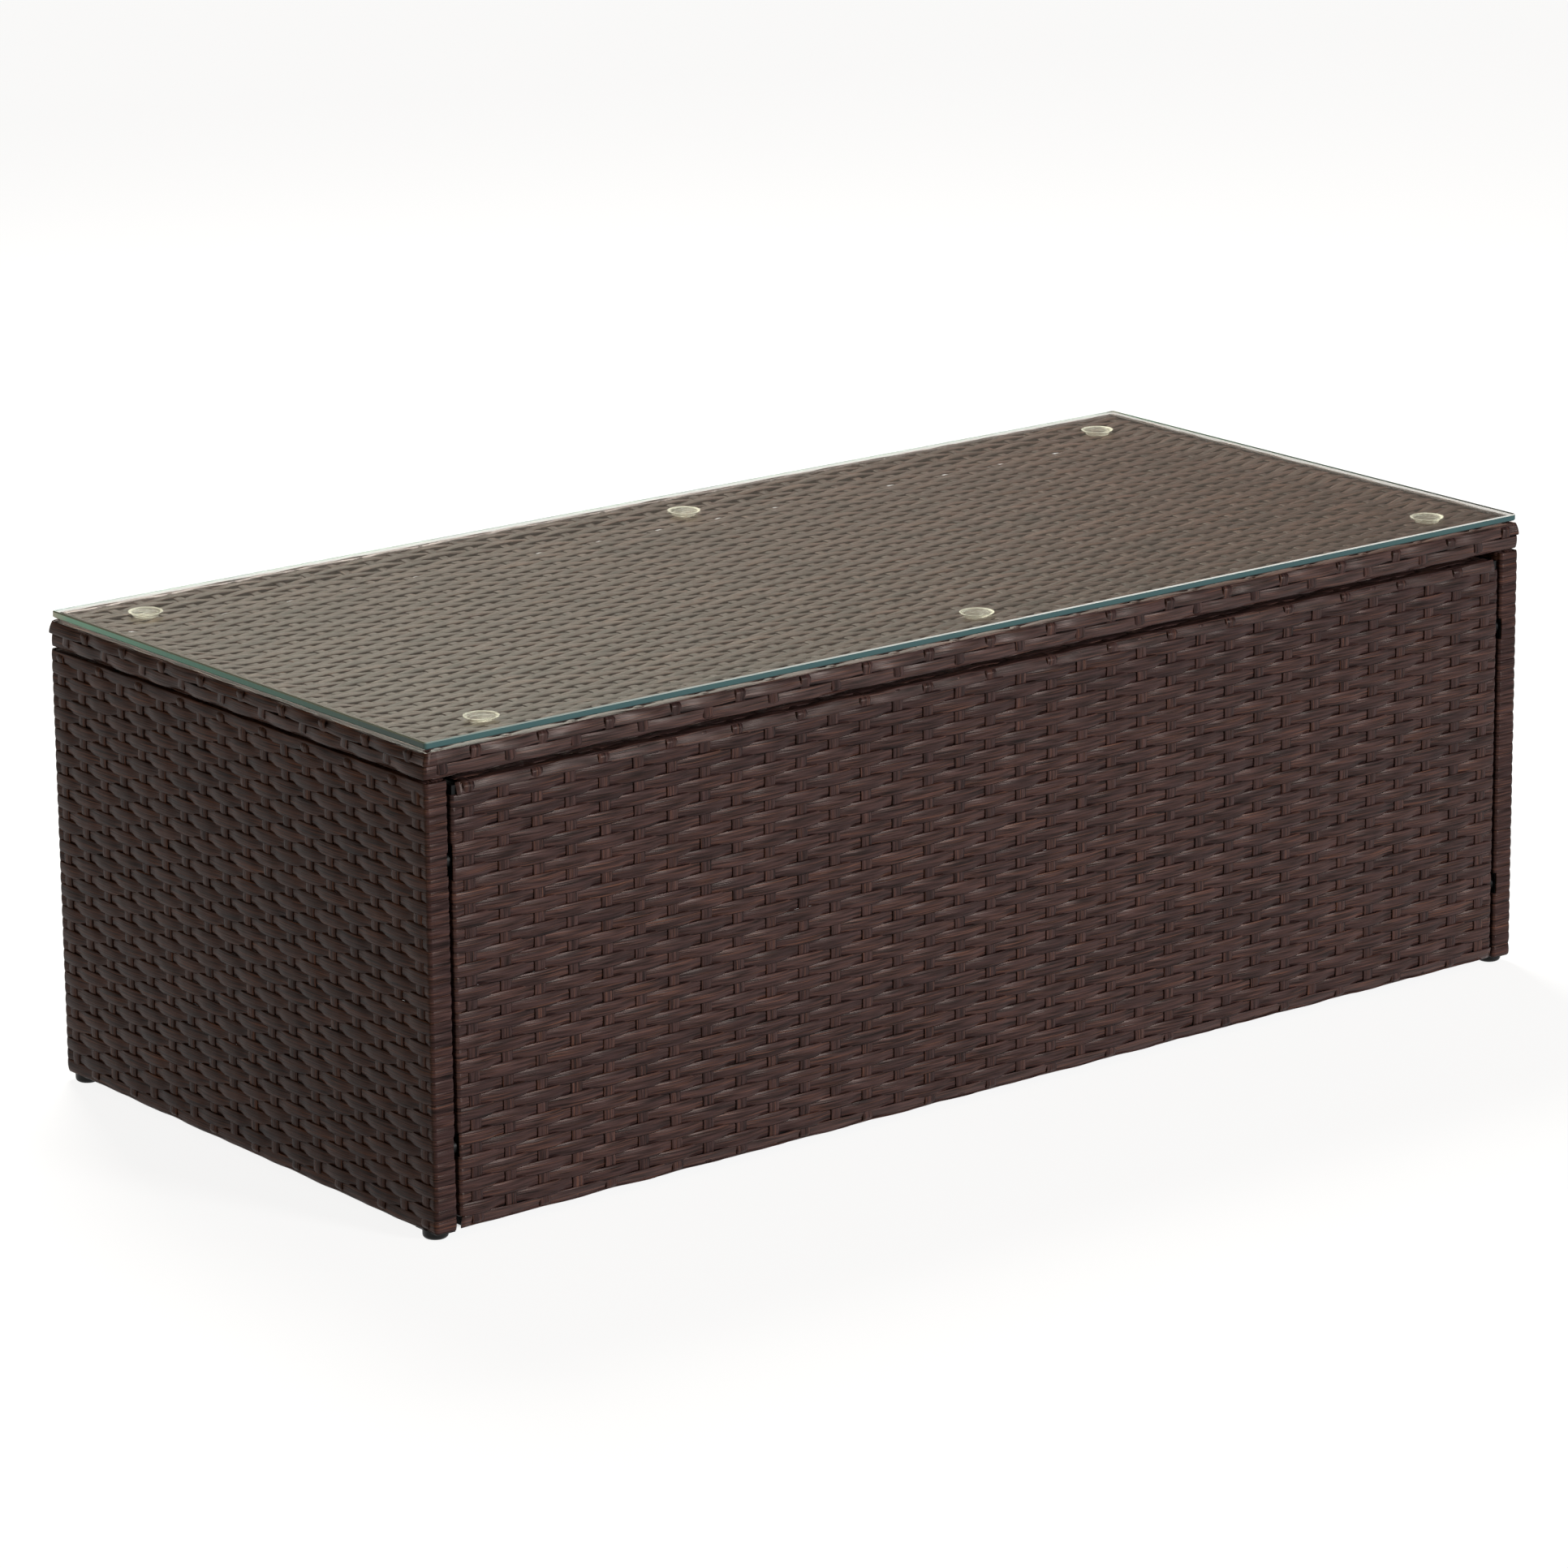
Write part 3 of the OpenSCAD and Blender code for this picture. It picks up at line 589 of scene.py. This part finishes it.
# Cross strands: they bind the bands in front and behind
face = stations(long_rows, row_y, per_pitch=2, spare=4)
climb, ways = wound_line(face, half_w - lid_deep, lid_depth, lid_turn, lid_tail)
along = climb[:, 0]
numbers = np.arange(cross_rows)
lift = -upright_rise * over_under((along + half_w) / row_y - 0.5, numbers[:, None] + lid_first)
lift = lift * edge_fade(along, half_w, row_y)
bind = np.where(along < 0, numbers[:, None], cross_rows - 1 - numbers[:, None])
lift = np.where(climb[:, 1] < 0, bind_lift(-climb[:, 1], bind), lift)
line = np.empty((cross_rows, len(along), 3))
line[..., 0] = ((numbers + 0.5) * row_x - half_l)[:, None]
line[..., 0] += wander(rng, cross_rows, along, wave=330, size=0.5)
line[..., 1] = along + lift * ways[:, 0]
line[..., 2] = lid_top - lid_deep + climb[:, 1] + lift * ways[:, 1] - field_dip(line[..., 0], along)
facing = np.broadcast_to(np.stack([0 * along, ways[:, 0], ways[:, 1]], axis=1), line.shape)
roll = wander(rng, cross_rows, along, wave=120, size=np.radians(1.5))
lid_runs = [lay_strands(rng, line, facing, lid_strand_w, roll)]

# A flat strand along each end of the rim, over the turned ends of the long strands
end_lay = np.radians(18)
end_inset = 4.7
end_sink = 0.55
along = stations(long_rows, row_y, per_pitch=2, spare=corner_room)
line = np.empty((2, len(along), 3))
line[..., 0] = np.array([[-1], [1]]) * (half_l - end_inset)
line[..., 1] = along
line[..., 2] = lid_top - end_sink + wander(rng, 2, along, wave=140, size=0.06)
outward = np.array([(-np.sin(end_lay), 0, np.cos(end_lay)), (np.sin(end_lay), 0, np.cos(end_lay))])
lid_runs.append(lay_strands(rng, line, np.broadcast_to(outward[:, None], line.shape), lid_strand_w))


def rim_loop(inset, radius):
    """Path round the lid, inset from its faces: points, outward ways and the count of strands crossed.

    Four straight sides joined by quarter circles, from the middle of the back round by the left end."""
    reach_x, reach_y = half_l - inset, half_w - inset
    x = stations(cross_rows, row_x, per_pitch=6, spare=inset + radius)
    y = stations(bind_count, bind_step * row_y, per_pitch=5, spare=0)
    y = y[np.abs(y) < reach_y - radius]
    x_place = (x + half_l) / row_x - 0.5
    y_place = (y + half_w) / (bind_step * row_y) - (bind_first + 0.5) / bind_step
    angle = np.radians(np.linspace(0, 90, 7))
    bend = np.stack([np.sin(angle), -np.cos(angle)], axis=1)
    sides = []
    for quarter, (reach, other, places, count) in enumerate((
            (reach_y, reach_x, x, x_place), (reach_x, reach_y, y, cross_rows + y_place),
            (reach_y, reach_x, x, cross_rows + bind_count + x_place),
            (reach_x, reach_y, y, 2 * cross_rows + bind_count + y_place))):
        a = quarter * np.pi / 2
        straight = np.stack([places, 0 * places - reach], axis=1)
        corner = radius * bend + (other - radius, radius - reach)
        way = np.concatenate([np.tile((0.0, -1.0), (len(places), 1)), bend])
        turn = np.array([(np.cos(a), np.sin(a)), (-np.sin(a), np.cos(a))])
        count = np.concatenate([count, np.linspace(count[-1] + 0.1, count[-1] + 0.5, len(angle))])
        sides.append((np.concatenate([straight, corner]) @ turn, way @ turn, count))
    points, ways, count = (np.concatenate(part) for part in zip(*sides))
    seam = len(sides[0][2]) + len(sides[1][2]) + len(x) // 2
    order = np.roll(np.arange(len(count)), -seam)
    order = np.append(order, order[0])
    return points[order], ways[order], count[order]


points, ways, count = rim_loop(lid_deep - band_out, band_turn)
steps = np.arange(len(count))
bands = np.arange(2)
lift = -band_rise * over_under(count, bands[:, None] + lid_first)
line = np.empty((2, len(count), 3))
line[..., :2] = points + lift[..., None] * ways
line[..., 2] = lid_top - (2 * bands[:, None] + 1) * rim / 4
line[..., 2] += wander(rng, 2, steps, wave=90, size=0.12)
facing = np.broadcast_to(np.append(ways, 0 * ways[:, :1], axis=1), line.shape)
roll = wander(rng, 2, steps, wave=23, size=np.radians(5)) - np.radians([[band_lay], [0]])
rim_bands = [lay_strands(rng, line, facing, width=band_w, roll=roll)]
for under in bands:
    points, ways, count = rim_loop(rim * (2 * under + 1) / 4, under_turn)
    line = np.empty((1, len(count), 3))
    line[..., :2] = points
    line[..., 2] = lid_top - rim + lid_deep + band_rise * over_under(count, under + lid_first)
    lid_runs.append(lay_strands(rng, line, np.broadcast_to((0.0, 0.0, -1.0), line.shape)))
lid_rim = woven_piece("lid_cross_strands", wicker, lid_runs, rim_bands, "lid_edge_wrap")

# Glass: a loose sheet of toughened float glass with polished edges. Its ground arrises show as pale lines,
# brightened towards the right end by a painted highlight, and its edges as green bands of painted glow,
# darker in front and white at the back, because there the eye looks along the sheet.

glass_low, glass_high = np.array(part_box("glass_top")) / MM
glass_r = 2.5
arris = 0.8


def round_outline(reach_x, reach_y, radius):
    """Points round a rectangle with round corners, anticlockwise: four quarter circles of ten points."""
    angle = np.radians(np.linspace(0, 90, 10))[None] + np.radians((0, 90, 180, 270))[:, None]
    centre = np.array([(1, 1), (-1, 1), (-1, -1), (1, -1)]) * (reach_x - radius, reach_y - radius)
    return (centre[:, None] + radius * np.stack([np.cos(angle), np.sin(angle)], axis=-1)).reshape(-1, 2)


def clear_glass():
    """Clear float glass: smooth and nearly colourless. Lamps shine through it on to the weave, and take on
    a faint green cast."""
    made = new_material("clear_float_glass")
    tree = made.node_tree
    glass = add_node(tree, "BsdfPrincipled", {"Base Color": srgb("#fdfbf6"), "Roughness": 0.0, "IOR": 1.5,
                                              "Transmission Weight": 1.0})
    through = add_node(tree, "BsdfTransparent", {"Color": srgb("#f2f9f6")})
    path = add_node(tree, "LightPath")
    return shade(made, add_node(tree, "MixShader", {0: path.outputs["Is Shadow Ray"], 1: glass.outputs[0],
                                                    2: through.outputs[0]}))


def green_edge():
    """Polished edge of float glass: light has run along the sheet, so it is an uneven blue-green, painted
    on as
    glow: dark teal on the front edge, mint further back and white on the back edge, where the ground behind
    shows through.
    """
    made = new_material("polished_glass_edge_painted_glow")
    tree = made.node_tree
    place = add_node(tree, "TexCoord").outputs["Object"]
    drift_size = 60e-3
    drift = add_node(tree, "TexNoise", {"Vector": place, "Scale": 1 / drift_size, "Detail": 2.0})
    across = add_node(tree, "SeparateXYZ", {"Vector": place})
    depth = add_node(tree, "MapRange", {"Value": across.outputs["Y"], "From Min": -glass_high[1] * MM,
                                        "From Max": glass_high[1] * MM})
    ramp = add_node(tree, "ValToRGB", {"Fac": depth.outputs["Result"]})
    stops = ramp.color_ramp.elements
    for _ in range(2):
        stops.new(0.5)
    # Painted glow across the sheet, from the front edge to the back edge: dark teal, mint, pale mint and
    # white
    painted_glow_stops = ((0.1, "#46666a"), (0.6, "#66adab"), (0.95, "#9fe6e0"), (0.998, "#f1f6f5"))
    for stop, (share, code) in zip(stops, painted_glow_stops):
        stop.position = share
        stop.color = srgb(code)
    uneven = add_node(tree, "Mix", {"Factor": drift.outputs["Fac"], "A": srgb("#dfe0e8"),
                                    "B": srgb("#f4fff4")}, data_type="RGBA")
    colour = add_node(tree, "Mix", {"Factor": 1.0, "A": ramp.outputs["Color"],
                                    "B": uneven.outputs["Result"]}, data_type="RGBA", blend_type="MULTIPLY")
    return shade(made, add_node(tree, "BsdfPrincipled", {
        "Base Color": colour.outputs["Result"], "Roughness": 0.08, "IOR": 1.5,
        "Specular IOR Level": 0.2}))


def ground_arris():
    """Ground arris of a glass sheet: a narrow frosted bevel that scatters light and looks nearly white. A
    painted highlight brightens it from a dim grey-green at the left end to white a little right of the
    middle.
    """
    made = new_material("ground_glass_arris")
    tree = made.node_tree
    place = add_node(tree, "TexCoord").outputs["Object"]
    grind_size = 8e-3
    grind = add_node(tree, "TexNoise", {"Vector": place, "Scale": 1 / grind_size, "Detail": 4.0})
    along = add_node(tree, "SeparateXYZ", {"Vector": place})
    # Painted highlight: the arris brightens from the sheet's left end to a tenth of its half-length right
    # of the middle
    highlight_from = 0.1 * glass_high[0] * MM
    wear_and_sheen = add_node(tree, "MapRange", {"Value": along.outputs["X"], "From Min": glass_low[0] * MM,
                                       "From Max": highlight_from})
    highlit = add_node(tree, "Mix", {"Factor": grind.outputs["Fac"], "A": srgb("#e3ebe9"),
                                   "B": srgb("#fbfcfb")}, data_type="RGBA")
    colour = add_node(tree, "Mix", {"Factor": wear_and_sheen.outputs["Result"], "A": srgb("#90a19e"),
                                    "B": highlit.outputs["Result"]}, data_type="RGBA")
    return shade(made, add_node(tree, "BsdfPrincipled", {
        "Base Color": colour.outputs["Result"], "Roughness": 0.35, "IOR": 1.5}))


low_z, high_z = glass_low[2], glass_high[2]
rings = []
for inset, z in ((arris, high_z), (0.0, high_z - arris), (0.0, low_z + arris), (arris, low_z)):
    outline = round_outline(glass_high[0] - inset, glass_high[1] - inset, glass_r - inset)
    rings.append(np.column_stack([outline, np.full(len(outline), z)]))
vertices = np.concatenate(rings)
index = np.arange(len(vertices)).reshape(len(rings), -1)
following = np.roll(index, -1, axis=1)
quads = np.stack([index[1:], following[1:], following[:-1], index[:-1]], axis=-1).reshape(-1, 4)
mesh = bpy.data.meshes.new("glass_sheet_polished")
faces = [index[0].tolist(), index[-1][::-1].tolist(), *quads.tolist()]
mesh.from_pydata((vertices * MM).tolist(), [], faces)
for finish in (clear_glass(), green_edge(), ground_arris()):
    mesh.materials.append(finish)
around = index.shape[1]
mesh.polygons.foreach_set("material_index", np.repeat((0, 2, 1), (2, around, 2 * around)))
glass = bpy.data.objects.new("glass_sheet_polished", mesh)
bpy.context.scene.collection.objects.link(glass)
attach(glass, "glass_sheet")
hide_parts("glass_top")

# Suction pads: soft clear vinyl cups, moulded in rings, that grip the glass by their lips and stand on the
# weave by a flat foot. They are pressed on by hand, a little off their places.

pad_low, pad_high = np.array(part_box("suction_pads"))[:, 2] / MM
pad_h = pad_high - pad_low
pad_end = 58.0
pad_side = 40.0
pad_reach = np.array((glass_high[0] - pad_end, glass_high[1] - pad_side))
pad_sides = np.array([(-1, -1), (0, -1), (1, -1), (-1, 1), (0, 1), (1, 1)])
pad_shifts = np.array([(14, -3), (5, -3), (4, 0), (-5, -1), (33, -5), (7, 0)])
pad_lip = 12.5
pad_foot = 7.6
pad_neck = 10.2
neck_h = 0.76 * pad_h
ridge = 0.7
cup_floor = 0.38 * pad_h
cup_wall = 0.56 * pad_h
cup_ring = 0.06 * pad_h
# From the foot up the ridged outside to the lip, and down the ringed inside of the cup
rising = np.linspace(0, 1, 25)
ripple = np.abs(np.sin(2 * np.pi * rising))
outside = np.stack([pad_foot + (pad_neck - pad_foot) * rising + ridge * ripple, neck_h * rising], axis=1)
lip = np.array([(0.92, 0.9), (0.99, 0.95), (1.0, 0.98), (0.98, 1.0), (0.94, 0.99)]) * (pad_lip, pad_h)
inside = np.stack([(0.9 - 0.8 * rising) * pad_lip,
                   cup_floor + cup_wall * (1 - rising) ** 1.5 - cup_ring * ripple], axis=1)
pad_profile = np.concatenate([outside, lip, inside])
# The thick ridges and the lip's edge look milky
ridge_rows = (5, 6, 17, 18, 24, 25, 26, 27)


def clear_vinyl(name, clear, rough):
    """Soft vinyl: a share of it, clear, lets light through like glass, and the rest is a warm white haze
    under a wet-looking gloss."""
    made = new_material(name)
    tree = made.node_tree
    place = add_node(tree, "TexCoord").outputs["Object"]
    haze_size = 4e-3
    haze = add_node(tree, "TexNoise", {"Vector": place, "Scale": 1 / haze_size, "Detail": 3.0})
    colour = add_node(tree, "Mix", {"Factor": haze.outputs["Fac"], "A": srgb("#f0ede9"),
                                    "B": srgb("#fbf9f7")}, data_type="RGBA")
    vinyl = add_node(tree, "BsdfPrincipled", {"Base Color": colour.outputs["Result"], "Roughness": rough,
                                              "IOR": 1.2, "Transmission Weight": clear})
    through = add_node(tree, "BsdfTransparent", {"Color": srgb("#d8d4c6")})
    path = add_node(tree, "LightPath")
    return shade(made, add_node(tree, "MixShader", {0: path.outputs["Is Shadow Ray"], 1: vinyl.outputs[0],
                                                    2: through.outputs[0]}))


around = 64
angle = np.linspace(0, 2 * np.pi, around, endpoint=False)
radius, height = pad_profile.T
places = pad_sides * pad_reach + pad_shifts
turned = np.stack([radius[:, None] * np.cos(angle), radius[:, None] * np.sin(angle),
                   np.broadcast_to(height[:, None], (len(radius), around))], axis=-1).reshape(-1, 3)
index = np.arange(len(turned)).reshape(len(radius), around)
following = np.roll(index, -1, axis=1)
quads = np.stack([index[:-1], following[:-1], following[1:], index[1:]], axis=-1).reshape(-1, 4).tolist()
one_pad = quads + [index[0][::-1].tolist(), index[-1].tolist()]
vertices = np.concatenate([turned + (x, y, pad_low) for x, y in places])
faces = [[corner + pad * len(turned) for corner in face] for pad in range(len(places)) for face in one_pad]
mesh = bpy.data.meshes.new("suction_cups")
mesh.from_pydata((vertices * MM).tolist(), [], faces)
mesh.shade_smooth()
for finish in (clear_vinyl("clear_vinyl", 0.92, 0.12), clear_vinyl("milky_vinyl", 0.45, 0.2)):
    mesh.materials.append(finish)
thick = np.isin(np.arange(len(radius) - 1), ridge_rows)
milky = np.append(np.repeat(thick, around), (0, 0))
mesh.polygons.foreach_set("material_index", np.tile(milky, len(places)))
pads = bpy.data.objects.new("suction_cups", mesh)
bpy.context.scene.collection.objects.link(pads)
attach(pads, "glass_sheet")
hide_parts("suction_pads")

# Floor, light and camera: a white paper sweep under even sky light, a broad lamp in front, a weak warm one
# at the left end, and two soft boxes behind and above, which rake the woven top.

world = bpy.data.worlds.new("studio")
bpy.context.scene.world = world
world.use_nodes = True
sky = world.node_tree
height = add_node(sky, "SeparateXYZ", {"Vector": add_node(sky, "TexCoord").outputs["Generated"]})
horizon = add_node(sky, "MapRange", {"Value": height.outputs["Z"], "From Min": 0.03, "From Max": 0.12,
                                     "To Min": 0.7, "To Max": 0.14})
sky.links.new(horizon.outputs["Result"], sky.nodes["Background"].inputs["Strength"])
sky.nodes["Background"].inputs["Color"].default_value = srgb("#fff0de")

front_lamp = bpy.data.lights.new("front_lamp", "SUN")
front_lamp.energy = 2.5
front_lamp.angle = np.radians(13)
side_lamp = bpy.data.lights.new("side_lamp", "SUN")
side_lamp.energy = 0.5
side_lamp.angle = np.radians(20)
side_lamp.color = srgb("#ffdf9a")[:3]
soft_box = bpy.data.lights.new("soft_box", "AREA")
soft_box.energy = 90
soft_box.size = 1.2
soft_box.color = srgb("#fcfaf2")[:3]
# Flags keep the soft box off the glass, which would mirror it, and a second one on the lid's weave
# and on the pads alone
weave_box = soft_box.copy()
weave_box.name = "weave_box"
weave_box.energy = 165
weave_box.color = srgb("#fff6ef")[:3]
off_glass = bpy.data.collections.new("off_glass")
off_glass.objects.link(glass)
off_glass.collection_objects[0].light_linking.link_state = "EXCLUDE"
on_weave = bpy.data.collections.new("on_weave")
for piece in (lid_field, lid_rim, pads):
    on_weave.objects.link(piece)
flags = {soft_box: off_glass, weave_box: on_weave}
aim = Vector((0, 0, 0.3))
for lamp, place in ((front_lamp, (0.66, -1.84, 0.74)), (side_lamp, (-1.8, -0.5, 0.8)),
                    (soft_box, (0.6, 1.6, 2.1)), (weave_box, (0.6, 1.6, 1.65))):
    lamp_object = bpy.data.objects.new(lamp.name, lamp)
    bpy.context.scene.collection.objects.link(lamp_object)
    lamp_object.location = place
    lamp_object.rotation_mode = "QUATERNION"
    lamp_object.rotation_quaternion = (Vector(place) - aim).to_track_quat("Z", "Y")
    lamp_object.visible_camera = False
    lamp_object.light_linking.receiver_collection = flags.get(lamp)


def paper_sweep():
    """White paper: a matt grey that takes the shadow, and a glow for the eye and for what mirrors it, so
    that the picture's ground is white. The glow is taken away under the table, a painted shadow, so that it
    is dark there."""
    made = new_material("white_paper_sweep")
    tree = made.node_tree
    place = add_node(tree, "TexCoord").outputs["Object"]
    outside = add_node(tree, "VectorMath", {0: place}, operation="ABSOLUTE")
    # Painted shadow: the glow is off where the floor lies more than this far inside the table's outline,
    # and rises to full over half this distance
    painted_shadow_edge = 36e-3
    painted_shadow_half = (cad_box[1][0] - painted_shadow_edge, cad_box[1][1] - painted_shadow_edge, 0)
    outside = add_node(tree, "VectorMath", {0: outside.outputs[0], 1: painted_shadow_half}, operation="SUBTRACT")
    outside = add_node(tree, "VectorMath", {0: outside.outputs[0], 1: (0, 0, 0)}, operation="MAXIMUM")
    outside = add_node(tree, "VectorMath", {0: outside.outputs[0]}, operation="LENGTH")
    glow = add_node(tree, "MapRange", {"Value": outside.outputs["Value"], "From Max": painted_shadow_edge / 2,
                                       "To Max": 0.88})
    path = add_node(tree, "LightPath")
    seen = add_node(tree, "Math", {0: path.outputs["Is Camera Ray"], 1: path.outputs["Is Glossy Ray"]},
                    operation="MAXIMUM")
    seen = add_node(tree, "Math", {0: seen.outputs[0], 1: path.outputs["Is Transmission Ray"]},
                    operation="MAXIMUM")
    glow = add_node(tree, "Math", {0: glow.outputs["Result"], 1: seen.outputs[0]}, operation="MULTIPLY")
    paper = add_node(tree, "BsdfDiffuse", {"Color": srgb("#7c7c7c")})
    white = add_node(tree, "Emission", {"Strength": glow.outputs[0]})
    return shade(made, add_node(tree, "AddShader", {0: paper.outputs[0], 1: white.outputs[0]}))


floor_reach = 60.0
floor_mesh = bpy.data.meshes.new("floor")
floor_corners = floor_reach * np.array([(-1, -1, 0), (1, -1, 0), (1, 1, 0), (-1, 1, 0)])
floor_mesh.from_pydata(floor_corners.tolist(), [], [(0, 1, 2, 3)])
floor = bpy.data.objects.new("floor", floor_mesh)
bpy.context.scene.collection.objects.link(floor)
floor_mesh.materials.append(paper_sweep())

camera = bpy.data.cameras.new("camera")
camera.lens = 154.4
camera.sensor_width = 36.0
camera.clip_end = 100.0
camera_object = bpy.data.objects.new("camera", camera)
bpy.context.scene.collection.objects.link(camera_object)
azimuth, elevation, lean = np.radians((-37.9826, 15.8584, -0.5372))
out = np.cos(elevation)
back = np.array((np.sin(azimuth) * out, -np.cos(azimuth) * out, np.sin(elevation)))
level = unit(np.cross((0, 0, 1), back))
rise = np.cross(back, level)
right = np.cos(lean) * level + np.sin(lean) * rise
up = np.cos(lean) * rise - np.sin(lean) * level
camera_place = np.array((-2.94262, -3.74500, 1.53424))
placed = np.eye(4)
placed[:3] = np.stack([right, up, back, camera_place], axis=1)
camera_object.matrix_world = Matrix(placed.tolist())
bpy.context.scene.camera = camera_object
bpy.context.scene.view_settings.view_transform = "Standard"
